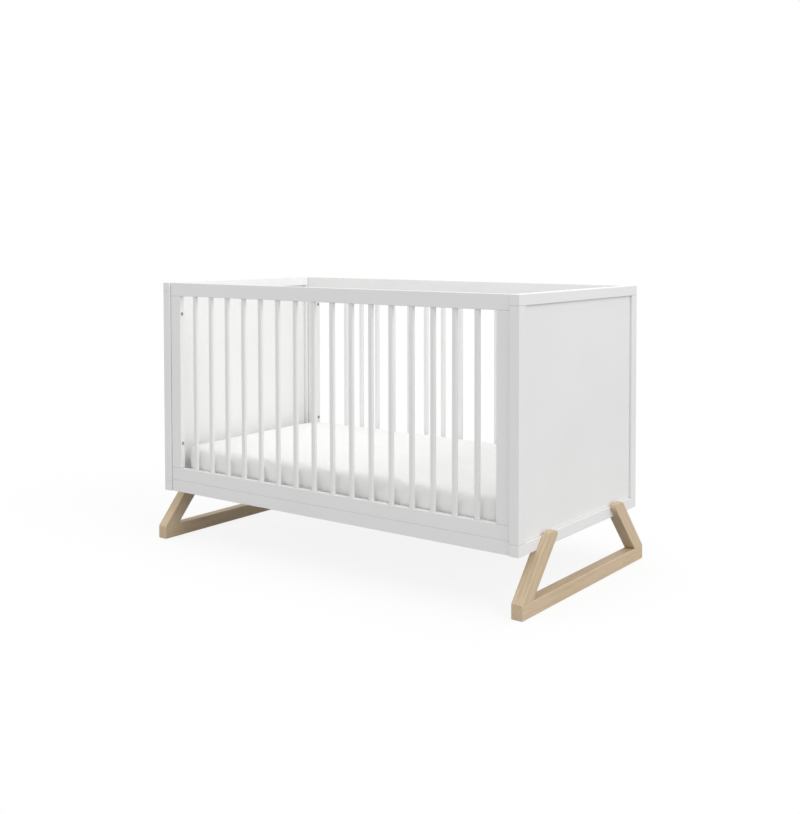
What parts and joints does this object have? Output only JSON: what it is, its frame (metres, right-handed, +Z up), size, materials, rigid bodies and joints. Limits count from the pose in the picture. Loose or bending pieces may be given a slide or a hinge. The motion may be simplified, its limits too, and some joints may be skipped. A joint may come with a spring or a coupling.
{
  "type": "baby crib",
  "caption": "White slatted baby crib with solid end panels, a natural wood sled leg at each end and a mattress on a height-adjustable support.",
  "frame": {"origin": "on the floor, under the middle of the crib", "axes": "+X along the length to the right-hand end, +Y from the front to the rear, +Z up"},
  "size_m": [1.477, 0.75, 0.8895],
  "materials": {
    "white_paint": "white satin lacquer on wood",
    "natural_wood": "washed natural wood, matt",
    "mattress_fabric": "white cotton sheet",
    "coated_steel": "light grey powder coat",
    "bolt_steel": "zinc plated",
    "insert_metal": "zinc plated",
    "dowel_wood": "plain beech",
    "glide_plastic": "nylon"
  },
  "bodies": {
    "crib_frame": {"floor_glides": "glide_plastic", "front_apron": "white_paint", "front_gate_bottom_rail": "white_paint", "front_gate_top_rail": "white_paint", "front_left_stile": "white_paint", "front_right_stile": "white_paint", "front_slat_01": "white_paint", "front_slat_02": "white_paint", "front_slat_03": "white_paint", "front_slat_04": "white_paint", "front_slat_05": "white_paint", "front_slat_06": "white_paint", "front_slat_07": "white_paint", "front_slat_08": "white_paint", "front_slat_09": "white_paint", "front_slat_10": "white_paint", "front_slat_11": "white_paint", "front_slat_12": "white_paint", "front_slat_13": "white_paint", "front_slat_14": "white_paint", "front_slat_15": "white_paint", "front_slat_16": "white_paint", "gate_bolts": "bolt_steel", "left_end_bottom_rail": "white_paint", "left_end_panel": "white_paint", "left_end_top_rail": "white_paint", "left_front_post": "white_paint", "left_front_upright": "natural_wood", "left_rear_post": "white_paint", "left_rear_upright": "natural_wood", "left_sled_bar": "natural_wood", "leg_bolts": "bolt_steel", "leg_dowels": "dowel_wood", "level_shoulder_bolts": "bolt_steel", "rail_dowels": "dowel_wood", "rear_apron": "white_paint", "rear_gate_bottom_rail": "white_paint", "rear_gate_top_rail": "white_paint", "rear_left_stile": "white_paint", "rear_right_stile": "white_paint", "rear_slats": "white_paint", "right_end_bottom_rail": "white_paint", "right_end_panel": "white_paint", "right_end_top_rail": "white_paint", "right_front_post": "white_paint", "right_front_upright": "natural_wood", "right_rear_post": "white_paint", "right_rear_upright": "natural_wood", "right_sled_bar": "natural_wood", "threaded_inserts": "insert_metal"},
    "mattress_support": {"front_left_hanger": "coated_steel", "front_right_hanger": "coated_steel", "rear_left_hanger": "coated_steel", "rear_right_hanger": "coated_steel", "support_front_angle": "coated_steel", "support_grid": "coated_steel", "support_left_angle": "coated_steel", "support_rear_angle": "coated_steel", "support_right_angle": "coated_steel"},
    "mattress": {"mattress": "mattress_fabric"}
  },
  "joints": [
    {"name": "mattress_height", "type": "slide", "parent": "crib_frame", "child": "mattress_support", "axis": [0, 0, 1], "range_m": [0, 0.2]},
    {"name": "mattress_lift", "type": "slide", "parent": "mattress_support", "child": "mattress", "axis": [0, 0, 1], "range_m": [0, 0.62]}
  ]
}
